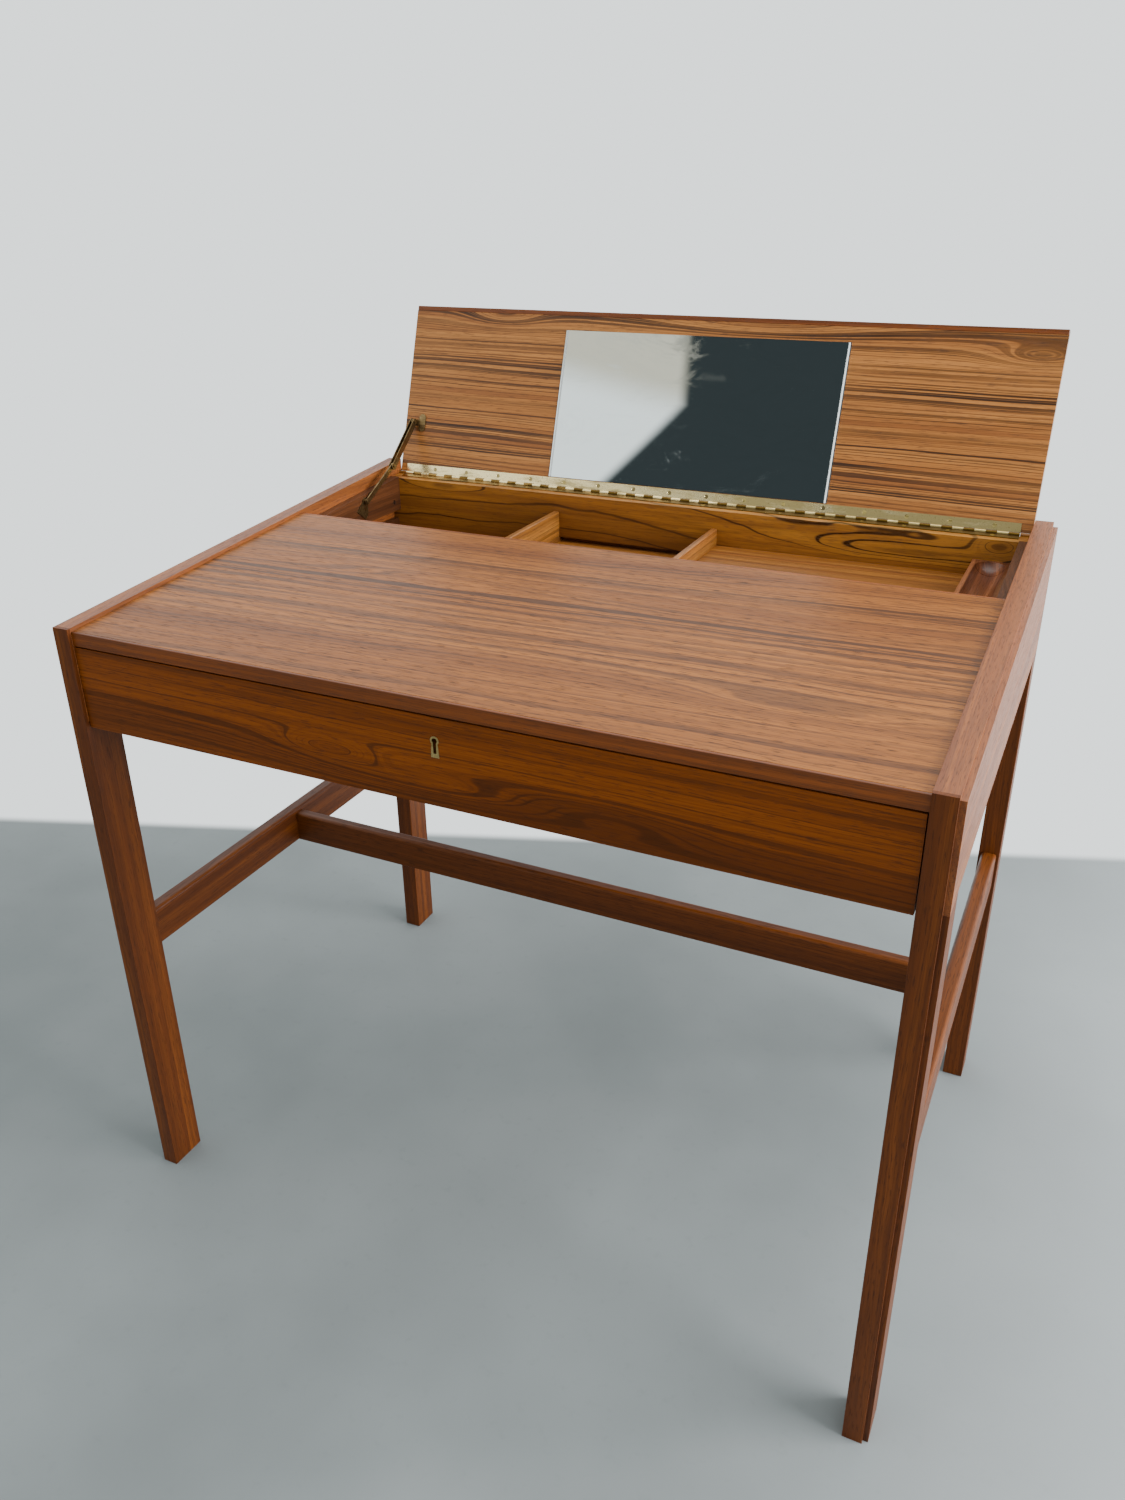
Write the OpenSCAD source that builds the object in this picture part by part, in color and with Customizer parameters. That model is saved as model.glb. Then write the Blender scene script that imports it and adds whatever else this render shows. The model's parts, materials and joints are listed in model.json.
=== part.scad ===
// Vanity table with a lift-up mirror lid.
// Z is up, X runs left to right and the front faces -Y. All sizes are millimetres.
// The lid is drawn open, held by its folding stay; the drawer is drawn shut.
// The origin is on the floor, under the middle of the table with its lid open,
// so the middle of the four legs lies half the lid's overhang in front of it.

/* [Overall size] */
// Width over both side frames
width = 900; // [700:1:1300]
// Depth over both legs of a side frame
depth = 627; // [520:1:800]
// Height of the side rails at the front
front_height = 720; // [640:1:800]
// Height of the side rails at the back; the top slopes up towards the back
rear_height = 767; // [640:1:860]

/* [Side frames] */
// Thickness of the side frame timber
stock = 25; // [20:0.5:40]
// Width of a leg seen from the side
leg_width = 44.5; // [30:0.5:80]
// Underside of the side rails above the floor
rail_bottom = 617; // [500:1:680]
// Strip of leg left standing in front of the end of the rail
rail_end_cover = 4; // [2:0.5:10]
// Width of the step cut along the outer edge of a side frame
rebate_width = 5.3; // [2:0.1:10]
// Depth of that step
rebate_depth = 4.2; // [1:0.1:8]
// Top of the side stretchers above the floor
side_stretcher_top = 356; // [150:1:450]
// Height of a side stretcher
side_stretcher_height = 46; // [25:1:70]
// Thickness of a side stretcher
side_stretcher_thickness = 18; // [12:0.5:24]
// Top of the cross stretcher above the floor
cross_stretcher_top = 350; // [150:1:450]
// Height of the cross stretcher
cross_stretcher_height = 40; // [20:1:60]
// Thickness of the cross stretcher
cross_stretcher_thickness = 16; // [10:0.5:24]
// Distance of the cross stretcher behind the middle of the depth
cross_stretcher_offset = 9; // [-80:1:80]
// Radius on the upper edges of every stretcher
stretcher_round = 4; // [1:0.5:7]
// Length of the tenons
tenon_length = 14; // [6:1:20]
// Gap round a tenon in its mortise
tenon_clearance = 0.1; // [0:0.05:0.3]

/* [Top board] */
// Drop of the board and the closed lid below the side rails
board_drop = 4.2; // [0:0.1:10]
// Thickness of the board
board_thickness = 15; // [12:0.5:25]
// Distance of the front edge behind the legs
front_setback = 4.5; // [0:0.5:20]
// Depth of the solid strip along the front edge
front_edge_strip = 3; // [2:0.5:20]
// Depth of the solid strip along the rear edge
rear_edge_strip = 3; // [2:0.5:15]
// Gap between the board and the closed lid
lid_gap = 1.2; // [0.5:0.1:3]

/* [Lid and mirror] */
// Length of the lid from the hinge pin to its free edge
lid_length = 228; // [180:1:300]
// Thickness of the lid
lid_thickness = 12; // [9:0.5:20]
// Gap beside the lid at each end
lid_side_gap = 1.2; // [0.4:0.1:4]
// Angle the lid swings from closed to fully open
lid_opening = 113; // [80:1:120]
// Width of the mirror
mirror_width = 376.5; // [200:0.5:700]
// Height of the mirror
mirror_height = 189.5; // [100:0.5:210]
// Thickness of the mirror glass
mirror_thickness = 4; // [3:0.5:6]
// Height the mirror stands proud of the lid
mirror_proud = 0.8; // [0.2:0.1:0.9]
// Width of the bevel round the mirror
mirror_bevel = 2; // [0.5:0.1:8]
// Lower edge of the mirror above the hinge pin
mirror_start = 14; // [13.5:0.5:40]
// Distance of the mirror's middle to the left of the lid's middle
mirror_offset = 3.5; // [-100:0.5:100]

/* [Piano hinge] */
// Number of hinge knuckles, counting both leaves
knuckle_count = 66; // [20:2:100]
// Spacing of the knuckles
knuckle_pitch = 12.5; // [8:0.5:20]
// Gap between neighbouring knuckles
knuckle_gap = 0.4; // [0.3:0.05:1]
// Outer radius of a knuckle
knuckle_radius = 2.3; // [1.8:0.1:4]
// Radius of the hinge pin
pin_radius = 1; // [0.6:0.1:2]
// Radial running clearance round the hinge pin
pin_clearance = 0.06; // [0.02:0.01:0.1]
// Gap between the two leaves with the lid closed
leaf_gap = 0.3; // [0.3:0.05:1]
// Width of a hinge leaf from the pin
leaf_width = 13; // [9:0.5:25]
// Thickness of a hinge leaf
leaf_thickness = 0.9; // [0.6:0.1:1.5]
// Distance of the hinge pin below the side rails
hinge_drop = 17.2; // [12:0.1:30]
// Distance of the hinge pin in front of the back of the side rails
hinge_inset = 4.1; // [2.5:0.1:15]
// Distance of the first screw from the left end of the hinge
first_screw = 46; // [8:0.5:50]
// Spacing of the hinge screws
screw_pitch = 50; // [25:1:80]
// Number of screws in each leaf
screw_count = 16; // [4:1:40]

/* [Rear compartments] */
// Thickness of the back rail
back_rail_thickness = 20.3; // [14:0.1:30]
// Thickness of the cross wall below the rear edge of the board
inner_wall_thickness = 14; // [9:0.5:20]
// Thickness of the side linings
lining_thickness = 12; // [6:0.5:18]
// Distance of the lining tops below the side rails
lining_drop = 16.6; // [12:0.1:30]
// Position of the left divider along X from the middle
left_divider_x = -167.8; // [-350:0.1:-60]
// Position of the right divider along X from the middle
right_divider_x = 52.6; // [-40:0.1:300]
// Thickness of a divider
divider_thickness = 8; // [5:0.5:12]
// Radius on the upper edges of a divider
divider_round = 1.5; // [0.5:0.1:2]
// Top of the dividers above the floor
divider_top = 724; // [700:1:735]
// Top of the left compartment's floor
left_floor = 640; // [625:1:700]
// Top of the middle compartment's floor
middle_floor = 684; // [640:1:700]
// Top of the right compartment's floor
right_floor = 703; // [650:1:712]
// Thickness of the compartment floors
floor_thickness = 6; // [4:0.5:10]
// Height of the shadow groove above the middle floor
groove_height = 6; // [2:0.5:10]
// Depth of that groove
groove_depth = 8; // [2:0.5:12]
// Width of the pencil tray
tray_width = 47; // [25:1:120]
// Height of the pencil tray
tray_height = 19; // [10:1:30]
// Width of the tray's left lip
tray_left_lip = 5; // [2:0.5:12]
// Width of the tray's right lip
tray_right_lip = 8; // [2:0.5:12]
// Depth of the hollow in the tray
tray_hollow = 12; // [5:0.5:16]

/* [Drawer] */
// Lower edge of the drawer front above the floor
drawer_bottom = 611; // [560:1:660]
// Gap round the drawer front
drawer_gap = 1.5; // [0.8:0.1:4]
// Thickness of the drawer front
drawer_front_thickness = 18; // [12:0.5:25]
// Thickness of the drawer sides
drawer_side_thickness = 12; // [8:0.5:16]
// Height of the drawer sides
drawer_side_height = 66; // [40:1:75]
// Thickness of the drawer back
drawer_back_thickness = 10; // [8:0.5:14]
// Thickness of the drawer bottom
drawer_base_thickness = 4; // [3:0.5:8]
// Depth of the grooves that hold the drawer bottom
base_groove = 5; // [2:0.5:8]
// Space between the drawer back and the cross wall
drawer_rear_space = 8; // [2:1:40]
// Height of the wooden runners
runner_height = 10; // [6:0.5:14]
// Width of the wooden runners
runner_width = 7.6; // [4:0.1:9]
// Running clearance between a runner and its groove
runner_clearance = 0.5; // [0.3:0.1:1.5]

/* [Lock] */
// Height of the keyhole plate
plate_height = 21; // [15:0.5:40]
// Radius of the round head of the keyhole plate
plate_radius = 4.4; // [3:0.1:8]
// Thickness of the keyhole plate
plate_thickness = 2; // [1:0.5:4]
// Height the keyhole plate stands proud
plate_proud = 0.3; // [0:0.1:1]
// Distance of the round keyhole below the top of the drawer front
keyhole_drop = 22.5; // [15:0.5:50]
// Radius of the round part of the keyhole
keyhole_radius = 2.6; // [1.5:0.1:4]
// Width of the slot below it
keyhole_slot = 3; // [1.5:0.1:4]
// Width of the lock case
lock_width = 36; // [25:1:60]
// Height of the lock case
lock_height = 34; // [25:1:60]
// Depth of the lock case
lock_depth = 9; // [6:0.5:14]
// Width of the lock bolt
bolt_width = 12; // [6:0.5:20]
// Thickness of the lock bolt
bolt_thickness = 4; // [2:0.5:6]
// Travel of the lock bolt
bolt_travel = 7; // [4:0.5:9]

/* [Lid stay] */
// Distance of the lower pivot in front of the hinge pin
foot_forward = 109.4; // [80:0.1:140]
// Distance of the lower pivot below the hinge pin
foot_down = 16.4; // [5:0.1:30]
// Length of the lower arm between its pivots
lower_arm_length = 75.9; // [50:0.1:110]
// Slope of the lower arm with the lid fully open
lower_arm_angle = 27.2; // [0:0.1:60]
// Distance of the upper pivot from the hinge pin along the lid
bracket_along = 70; // [40:0.5:120]
// Distance of the upper pivot in front of the lid's inner face
bracket_off = 6; // [5:0.1:12]
// Width of the lower arm
lower_arm_width = 7; // [4:0.5:8]
// Thickness of the lower arm
lower_arm_thickness = 1.8; // [1:0.1:3]
// Width of the upper arm
upper_arm_width = 9; // [5:0.1:9.4]
// Thickness of the sheet in the upper arm and the brackets
sheet = 1; // [0.8:0.1:1.5]
// Gap between parts of the stay that move past each other
stay_gap = 0.4; // [0.3:0.05:1]
// Radius of the stay's pivot pins
stay_pin = 1.6; // [1:0.1:2.5]

/* [Hidden] */
$fn = 48;
half_w = width / 2;
inner = half_w - stock;
slope = (rear_height - front_height) / depth;
slope_angle = atan(slope);
open_angle = slope_angle - lid_opening;
lid_top = (hinge_drop - board_drop) * cos(slope_angle);
lid_overhang = max(0, -lid_length * cos(open_angle) - lid_top * sin(open_angle) - hinge_inset);
middle_y = -lid_overhang / 2;
leg_front = middle_y - depth / 2;
leg_rear = middle_y + depth / 2;
function top_z(y) = front_height + slope * (y - leg_front);

hinge_y = leg_rear - hinge_inset;
hinge_z = top_z(hinge_y) - hinge_drop;
lid_under = lid_top - lid_thickness;
leaf_face = lid_under - leaf_thickness;
fixed_face = leaf_face - leaf_gap;
lid_half = inner - lid_side_gap;
edge_clear = knuckle_radius + 0.2;
hinge_length = knuckle_count * knuckle_pitch;
hinge_start = -hinge_length / 2 - 1.5;

front_y = leg_front + front_setback;
board_rear = hinge_y - lid_length * cos(slope_angle) - lid_gap;
inner_wall_y = board_rear - 1.5;
board_under = board_drop + board_thickness;
back_rail_y = hinge_y - edge_clear - back_rail_thickness;
back_rail_rear = hinge_y - edge_clear;
back_rail_drop = hinge_drop + (leaf_thickness - fixed_face + 0.02) / cos(slope_angle);

drawer_top = top_z(front_y) - board_under - drawer_gap;
drawer_half = inner - drawer_gap;
drawer_rear = inner_wall_y - inner_wall_thickness - drawer_rear_space;
drawer_side_z = drawer_bottom + 6;
base_z = drawer_side_z + 5;
front_inside = front_y + drawer_front_thickness;
runner_z = drawer_side_z + 32;
runner_front = leg_front + leg_width + 4;
keyhole_z = drawer_top - keyhole_drop;
lock_top = drawer_top - 2;

foot_y = hinge_y - foot_forward;
foot_z = hinge_z - foot_down;
elbow_y = foot_y + lower_arm_length * cos(lower_arm_angle);
elbow_z = foot_z + lower_arm_length * sin(lower_arm_angle);
pivot_y = hinge_y - bracket_along * cos(open_angle) - (lid_under - bracket_off) * sin(open_angle);
pivot_z = hinge_z - bracket_along * sin(open_angle) + (lid_under - bracket_off) * cos(open_angle);
upper_arm_length = norm([elbow_y - pivot_y, elbow_z - pivot_z]);
upper_arm_angle = atan2(elbow_z - pivot_z, elbow_y - pivot_y);
lining_face = -inner + lining_thickness;
foot_plate = 1.3;
lower_arm_x = lining_face + foot_plate + sheet + 1;
upper_left_x = lower_arm_x - stay_gap - 1 - sheet + 0.2;
upper_right_x = lower_arm_x + lower_arm_thickness + stay_gap + 0.8;
bracket_x = upper_right_x + 9.5;
bracket_plate = 1.4;

// ---------- shared shapes ----------

// Block between two corners.
module block(a, b) {
  translate(a) cube([b[0] - a[0], b[1] - a[1], b[2] - a[2]]);
}

// Block whose top follows the sloping table top, lowered by drop.
module sloped(x0, x1, y0, y1, z0, drop) {
  translate([x0, 0, 0])
    rotate([90, 0, 90])
      linear_extrude(height = x1 - x0)
        polygon([[y0, z0], [y1, z0], [y1, top_z(y1) - drop], [y0, top_z(y0) - drop]]);
}

// Layer parallel to the table top, between two drops.
module layer(x0, x1, y0, y1, upper, lower) {
  translate([x0, 0, 0])
    rotate([90, 0, 90])
      linear_extrude(height = x1 - x0)
        polygon([[y0, top_z(y0) - lower], [y1, top_z(y1) - lower],
                 [y1, top_z(y1) - upper], [y0, top_z(y0) - upper]]);
}

// Mirrors its child to the right side when side is 1.
module on_side(side) {
  if (side > 0)
    mirror([1, 0, 0]) children();
  else
    children();
}

// Cylinder lying along X.
module rod_x(x0, x1, r) {
  translate([x0, 0, 0]) rotate([0, 90, 0]) cylinder(h = x1 - x0, r = r);
}

// Bar along Y with rounded upper edges.
module bar_y(x0, x1, y0, y1, z0, z1) {
  r = stretcher_round;
  block([x0, y0, z0], [x1, y1, z1 - r]);
  block([x0 + r, y0, z0], [x1 - r, y1, z1]);
  for (x = [x0 + r, x1 - r])
    translate([x, y1, z1 - r]) rotate([90, 0, 0]) cylinder(h = y1 - y0, r = r);
}

// Bar along X with rounded upper edges.
module bar_x(x0, x1, y0, y1, z0, z1) {
  r = stretcher_round;
  block([x0, y0, z0], [x1, y1, z1 - r]);
  block([x0, y0 + r, z0], [x1, y1 - r, z1]);
  for (y = [y0 + r, y1 - r])
    translate([x0, y, z1 - r]) rotate([0, 90, 0]) cylinder(h = x1 - x0, r = r);
}

// Places a child given in the closed lid's own frame, lid open.
// There the hinge pin is the X axis and the lid runs towards -Y.
module on_lid() {
  translate([0, hinge_y, hinge_z]) rotate([open_angle, 0, 0]) children();
}

// Places a child given in the frame of the fixed hinge leaf.
module on_hinge() {
  translate([0, hinge_y, hinge_z]) rotate([slope_angle, 0, 0]) children();
}

// Slotted countersunk screw, head face on the XY plane, point towards +Z.
module wood_screw(head, shank, length) {
  difference() {
    union() {
      cylinder(h = head * 0.6, r1 = head, r2 = shank);
      cylinder(h = length, r = shank);
    }
    translate([-head - 1, -0.25, -1]) cube([2 * head + 2, 0.5, 1.45]);
  }
}

// Hole that the screw above sits in.
module screw_seat(head, shank, length) {
  translate([0, 0, -0.01]) cylinder(h = head * 0.6, r1 = head + 0.05, r2 = shank + 0.05);
  translate([0, 0, -0.01]) cylinder(h = length + 0.1, r = shank + 0.05);
}

// ---------- side frames, drawn on the left ----------

// Tenon of a leg in the side rail; end is -1 at the front, 1 at the back.
module tenon_box(end, grow) {
  g = grow;
  y = middle_y + end * (depth - leg_width) / 2;
  block([-half_w + 8 - g, y - 13 - g, rail_bottom - 1],
        [-half_w + 17 + g, y + 13 + g, rail_bottom + 30 + g]);
}

// Tenon of a side stretcher in the leg at that end.
module stretcher_tenon(end, grow) {
  g = grow;
  yl = middle_y + end * (depth / 2 - leg_width);
  xm = -half_w + stock / 2;
  z1 = side_stretcher_top - 7;
  z0 = side_stretcher_top - side_stretcher_height + 5;
  ya = end > 0 ? yl - 1 : yl - tenon_length - g;
  yb = end > 0 ? yl + tenon_length + g : yl + 1;
  block([xm - 4 - g, ya, z0 - g], [xm + 4 + g, yb, z1 + g]);
}

module leg(end) {
  y0 = end > 0 ? leg_rear - leg_width : leg_front;
  y1 = y0 + leg_width;
  difference() {
    union() {
      block([-half_w, y0, 0], [-inner, y1, rail_bottom]);
      if (end < 0)
        sloped(-half_w, -inner, leg_front, leg_front + rail_end_cover, rail_bottom - 1, 0);
      tenon_box(end, 0);
    }
    if (end > 0)
      block([-half_w - 1, leg_rear - rebate_depth, -1],
            [-half_w + rebate_width, leg_rear + 1, rear_height]);
    if (end < 0) {
      block([-half_w - 1, leg_front - 1, -1],
            [-half_w + rebate_width, leg_front + rebate_depth, rear_height]);
      layer(-half_w - 1, -half_w + rebate_width, leg_front - 1,
            leg_front + rail_end_cover + 1, -5, rebate_depth);
    }
    stretcher_tenon(end, tenon_clearance);
  }
}

module side_rail() {
  y0 = leg_front + rail_end_cover;
  difference() {
    sloped(-half_w, -inner, y0, leg_rear, rail_bottom, 0);
    layer(-half_w - 1, -half_w + rebate_width, y0 - 1, leg_rear + 1, -5, rebate_depth);
    if (rebate_depth > rail_end_cover)
      block([-half_w - 1, y0 - 1, rail_bottom - 1],
            [-half_w + rebate_width, leg_front + rebate_depth, rear_height]);
    block([-half_w - 1, leg_rear - rebate_depth, rail_bottom - 1],
          [-half_w + rebate_width, leg_rear + 1, rear_height + 5]);
    tenon_box(-1, tenon_clearance);
    tenon_box(1, tenon_clearance);
  }
}

module side_stretcher() {
  xm = -half_w + stock / 2;
  t = side_stretcher_thickness / 2;
  y0 = leg_front + leg_width;
  y1 = leg_rear - leg_width;
  z1 = side_stretcher_top;
  z0 = z1 - side_stretcher_height;
  difference() {
    union() {
      bar_y(xm - t, xm + t, y0, y1, z0, z1);
      stretcher_tenon(-1, 0);
      stretcher_tenon(1, 0);
    }
    cross_tenon(tenon_clearance);
  }
}

// Tenon of the cross stretcher in the left side stretcher.
module cross_tenon(grow) {
  g = grow;
  x = -half_w + stock / 2 + side_stretcher_thickness / 2;
  y = middle_y + cross_stretcher_offset;
  z1 = cross_stretcher_top - 6;
  z0 = cross_stretcher_top - cross_stretcher_height + 6;
  block([x - 11 - g, y - 4 - g, z0 - g], [x + 1, y + 4 + g, z1 + g]);
}

module leg_front_left() color("sienna") leg(-1);
module leg_front_right() color("sienna") on_side(1) leg(-1);
module leg_rear_left() color("sienna") leg(1);
module leg_rear_right() color("sienna") on_side(1) leg(1);
module side_rail_left() color("peru") side_rail();
module side_rail_right() color("peru") on_side(1) side_rail();
module side_stretcher_left() color("sienna") side_stretcher();
module side_stretcher_right() color("sienna") on_side(1) side_stretcher();

module cross_stretcher() {
  x = half_w - stock / 2 - side_stretcher_thickness / 2;
  y = middle_y + cross_stretcher_offset;
  t = cross_stretcher_thickness / 2;
  z1 = cross_stretcher_top;
  color("sienna") union() {
    bar_x(-x, x, y - t, y + t, z1 - cross_stretcher_height, z1);
    cross_tenon(0);
    mirror([1, 0, 0]) cross_tenon(0);
  }
}

// ---------- top board ----------

module top_board() {
  color("tan") difference() {
    layer(-inner, inner, front_y + front_edge_strip, board_rear - rear_edge_strip,
          board_drop, board_under);
    bolt_mortise();
  }
}

module top_front_edge() {
  color("saddlebrown")
    layer(-inner, inner, front_y, front_y + front_edge_strip, board_drop, board_under);
}

module top_rear_edge() {
  color("saddlebrown")
    layer(-inner, inner, board_rear - rear_edge_strip, board_rear, board_drop, board_under);
}

// Pocket above the lock bolt.
module bolt_mortise() {
  y = front_inside + lock_depth / 2;
  block([-bolt_width / 2 - 1, y - bolt_thickness / 2 - 1, drawer_top - 5],
        [bolt_width / 2 + 1, y + bolt_thickness / 2 + 1, drawer_top + bolt_travel + 3]);
}

// ---------- rear compartments ----------

// Bead round the hinge line beyond an end of the hinge, closing the slot under the lid.
module end_bead(x0, x1) {
  r = knuckle_radius - 0.1;
  on_hinge() {
    rod_x(x0, x1, r);
    block([x0, -edge_clear - 1, fixed_face - leaf_thickness - 2], [x1, 0, fixed_face - leaf_thickness]);
  }
}

module back_rail() {
  gz = middle_floor;
  color("chocolate") difference() {
    union() {
      sloped(-inner, inner, back_rail_y, back_rail_rear, rail_bottom, back_rail_drop);
      end_bead(-inner, hinge_start - 0.4);
      end_bead(hinge_start + hinge_length + 0.4, inner);
    }
    block([left_divider_x + divider_thickness / 2, back_rail_y - 1, gz],
          [right_divider_x - divider_thickness / 2, back_rail_y + groove_depth, gz + groove_height]);
    on_hinge() for (i = [0 : screw_count - 1])
      translate([hinge_start + first_screw + i * screw_pitch, -leaf_width * 0.6, fixed_face])
        rotate([180, 0, 0]) screw_seat(2.6, 1.1, 9);
  }
}

module inner_wall() {
  color("peru")
    sloped(-inner, inner, inner_wall_y - inner_wall_thickness, inner_wall_y,
           rail_bottom, board_under + 0.05);
}

// Screw through the left lining, or its hole when grow is 1.
module lining_screw_at(grow) {
  translate([lining_face, hinge_y - 38, hinge_z - 34]) rotate([0, -90, 0])
    if (grow > 0)
      screw_seat(3, 1.4, 8);
    else
      wood_screw(3, 1.4, 8);
}

module side_lining() {
  difference() {
    sloped(-inner, lining_face, board_rear + 0.1, back_rail_y, right_floor, lining_drop);
    lining_screw_at(1);
  }
}

module side_lining_left() {
  color("sienna") difference() {
    side_lining();
    foot_screws(1);
  }
}

module side_lining_right() color("sienna") on_side(1) side_lining();

module lower_cleat_left() {
  color("sienna")
    block([-inner, inner_wall_y, left_floor], [-inner + 8, back_rail_y, right_floor - 13]);
}

// Divider with rounded upper edges.
module divider(x, z0) {
  t = divider_thickness / 2;
  r = divider_round;
  right = [for (a = [0 : 15 : 90]) [x + t - r + r * cos(a), divider_top - r + r * sin(a)]];
  left = [for (a = [90 : 15 : 180]) [x - t + r + r * cos(a), divider_top - r + r * sin(a)]];
  translate([0, back_rail_y, 0]) rotate([90, 0, 0])
    linear_extrude(height = back_rail_y - inner_wall_y)
      polygon(concat([[x - t, z0], [x + t, z0]], right, left));
}

module divider_left() {
  color("peru") divider(left_divider_x, left_floor - floor_thickness);
}

module divider_right() {
  color("peru") divider(right_divider_x, middle_floor - floor_thickness);
}

module floor_left() {
  color("goldenrod")
    block([-inner, inner_wall_y, left_floor - floor_thickness],
          [left_divider_x - divider_thickness / 2, back_rail_y, left_floor]);
}

module floor_middle() {
  color("goldenrod")
    block([left_divider_x + divider_thickness / 2, inner_wall_y, middle_floor - floor_thickness],
          [right_divider_x - divider_thickness / 2, back_rail_y, middle_floor]);
}

module floor_right() {
  color("goldenrod")
    block([right_divider_x + divider_thickness / 2, inner_wall_y, right_floor - floor_thickness],
          [inner, back_rail_y, right_floor]);
}

module pencil_tray() {
  x1 = -lining_face;
  x0 = x1 - tray_width;
  top = right_floor + tray_height;
  half = (tray_width - tray_left_lip - tray_right_lip) / 2;
  r = (half * half + tray_hollow * tray_hollow) / (2 * tray_hollow);
  xc = x0 + tray_left_lip + half;
  zc = top - tray_hollow + r;
  ya = inner_wall_y + half + 6;
  yb = back_rail_y - half - 4;
  color("sienna") difference() {
    block([x0, inner_wall_y, right_floor], [x1, back_rail_y, top]);
    translate([xc, yb, zc]) rotate([90, 0, 0]) cylinder(h = yb - ya, r = r);
    for (y = [ya, yb])
      translate([xc, y, zc]) sphere(r = r - 0.3);
  }
}

module lining_screws() {
  color("dimgray") {
    lining_screw_at(0);
    on_side(1) lining_screw_at(0);
  }
}

// ---------- drawer runners ----------

module runner() {
  block([-inner, runner_front, runner_z],
        [-inner + runner_width, drawer_rear + 4, runner_z + runner_height]);
}

module runner_screw_row(grow) {
  for (y = [runner_front + 20, (runner_front + drawer_rear) / 2, drawer_rear - 20])
    translate([-inner + runner_width, y, runner_z + runner_height / 2]) rotate([0, -90, 0])
      if (grow > 0)
        screw_seat(2.4, 1.2, runner_width - 0.2);
      else
        wood_screw(2.4, 1.2, runner_width - 0.4);
}

module drawer_runner() {
  difference() {
    runner();
    runner_screw_row(1);
  }
}

module drawer_runner_left() color("tan") drawer_runner();
module drawer_runner_right() color("tan") on_side(1) drawer_runner();

module runner_screws() {
  color("dimgray") {
    runner_screw_row(0);
    on_side(1) runner_screw_row(0);
  }
}

// ---------- piano hinge ----------

// Knuckles of one leaf: first is 0 or 1, side is +1 for the lid leaf.
module knuckles(first, side) {
  z = side > 0 ? leaf_face : fixed_face - leaf_thickness;
  for (i = [first : 2 : knuckle_count - 1]) {
    x0 = hinge_start + i * knuckle_pitch + knuckle_gap / 2;
    x1 = x0 + knuckle_pitch - knuckle_gap;
    difference() {
      union() {
        rod_x(x0, x1, knuckle_radius);
        block([x0, -edge_clear - 0.3, z], [x1, -1.2, z + leaf_thickness]);
      }
      rod_x(x0 - 1, x1 + 1, pin_radius + pin_clearance);
    }
  }
}

module leaf_plate(z0, z1, screw_dir) {
  difference() {
    block([hinge_start, -leaf_width, z0], [hinge_start + hinge_length, -edge_clear - 0.2, z1]);
    for (i = [0 : screw_count - 1])
      translate([hinge_start + first_screw + i * screw_pitch, -leaf_width * 0.6,
                 screw_dir > 0 ? z0 : z1])
        rotate([screw_dir > 0 ? 0 : 180, 0, 0]) screw_seat(2.6, 1.1, 9);
  }
}

module hinge_leaf_fixed() {
  color("gold") on_hinge() {
    leaf_plate(fixed_face - leaf_thickness, fixed_face, -1);
    knuckles(1, -1);
  }
}

module hinge_leaf_lid() {
  color("gold") on_lid() {
    leaf_plate(leaf_face, lid_under, 1);
    knuckles(0, 1);
  }
}

module hinge_pin() {
  color("goldenrod") on_hinge()
    rod_x(hinge_start, hinge_start + hinge_length, pin_radius);
}

module hinge_screws_fixed() {
  color("goldenrod") on_hinge() for (i = [0 : screw_count - 1])
    translate([hinge_start + first_screw + i * screw_pitch, -leaf_width * 0.6, fixed_face])
      rotate([180, 0, 0]) wood_screw(2.6, 1.1, 9);
}

module hinge_screws_lid() {
  color("goldenrod") on_lid() for (i = [0 : screw_count - 1])
    translate([hinge_start + first_screw + i * screw_pitch, -leaf_width * 0.6, leaf_face])
      wood_screw(2.6, 1.1, 9);
}

// ---------- lid ----------

module mirror_pocket() {
  g = 0.3;
  x = -mirror_offset;
  block([x - mirror_width / 2 - g, -mirror_start - mirror_height - g, lid_under - 1],
        [x + mirror_width / 2 + g, -mirror_start + g, lid_under + mirror_thickness - mirror_proud]);
}

module lid_panel() {
  color("chocolate") on_lid() difference() {
    block([-lid_half, -lid_length + 6, lid_under], [lid_half, -edge_clear, lid_top]);
    mirror_pocket();
    for (i = [0 : screw_count - 1])
      translate([hinge_start + first_screw + i * screw_pitch, -leaf_width * 0.6, leaf_face])
        screw_seat(2.6, 1.1, 9);
    bracket_screws(1);
  }
}

module lid_front_edge() {
  color("saddlebrown") on_lid()
    block([-lid_half, -lid_length, lid_under], [lid_half, -lid_length + 6, lid_top]);
}

module mirror_glass() {
  x = -mirror_offset;
  y0 = -mirror_start - mirror_height;
  z = lid_under - mirror_proud;
  b = mirror_bevel;
  d = mirror_proud * 0.8;
  color("silver") on_lid() difference() {
    block([x - mirror_width / 2, y0, z], [x + mirror_width / 2, -mirror_start, z + mirror_thickness]);
    for (s = [-1, 1])
      translate([x + s * mirror_width / 2, y0 - 1, z])
        rotate([0, s * atan(d / b), 0])
          translate([s > 0 ? -b * 1.6 : -b * 0.6, 0, -3])
            cube([b * 2.2, mirror_height + 2, 3 - d * 0.5]);
  }
}

// ---------- lid stay ----------

// Screws of the stay's foot, or their holes when grow is 1.
module foot_screws(grow) {
  for (p = [[-13, -9], [1.5, -18]])
    translate([lining_face + foot_plate, foot_y + p[0], foot_z + p[1]]) rotate([0, -90, 0])
      if (grow > 0)
        screw_seat(2.2, 1, 9);
      else
        wood_screw(2.2, 1, 9);
}

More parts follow.
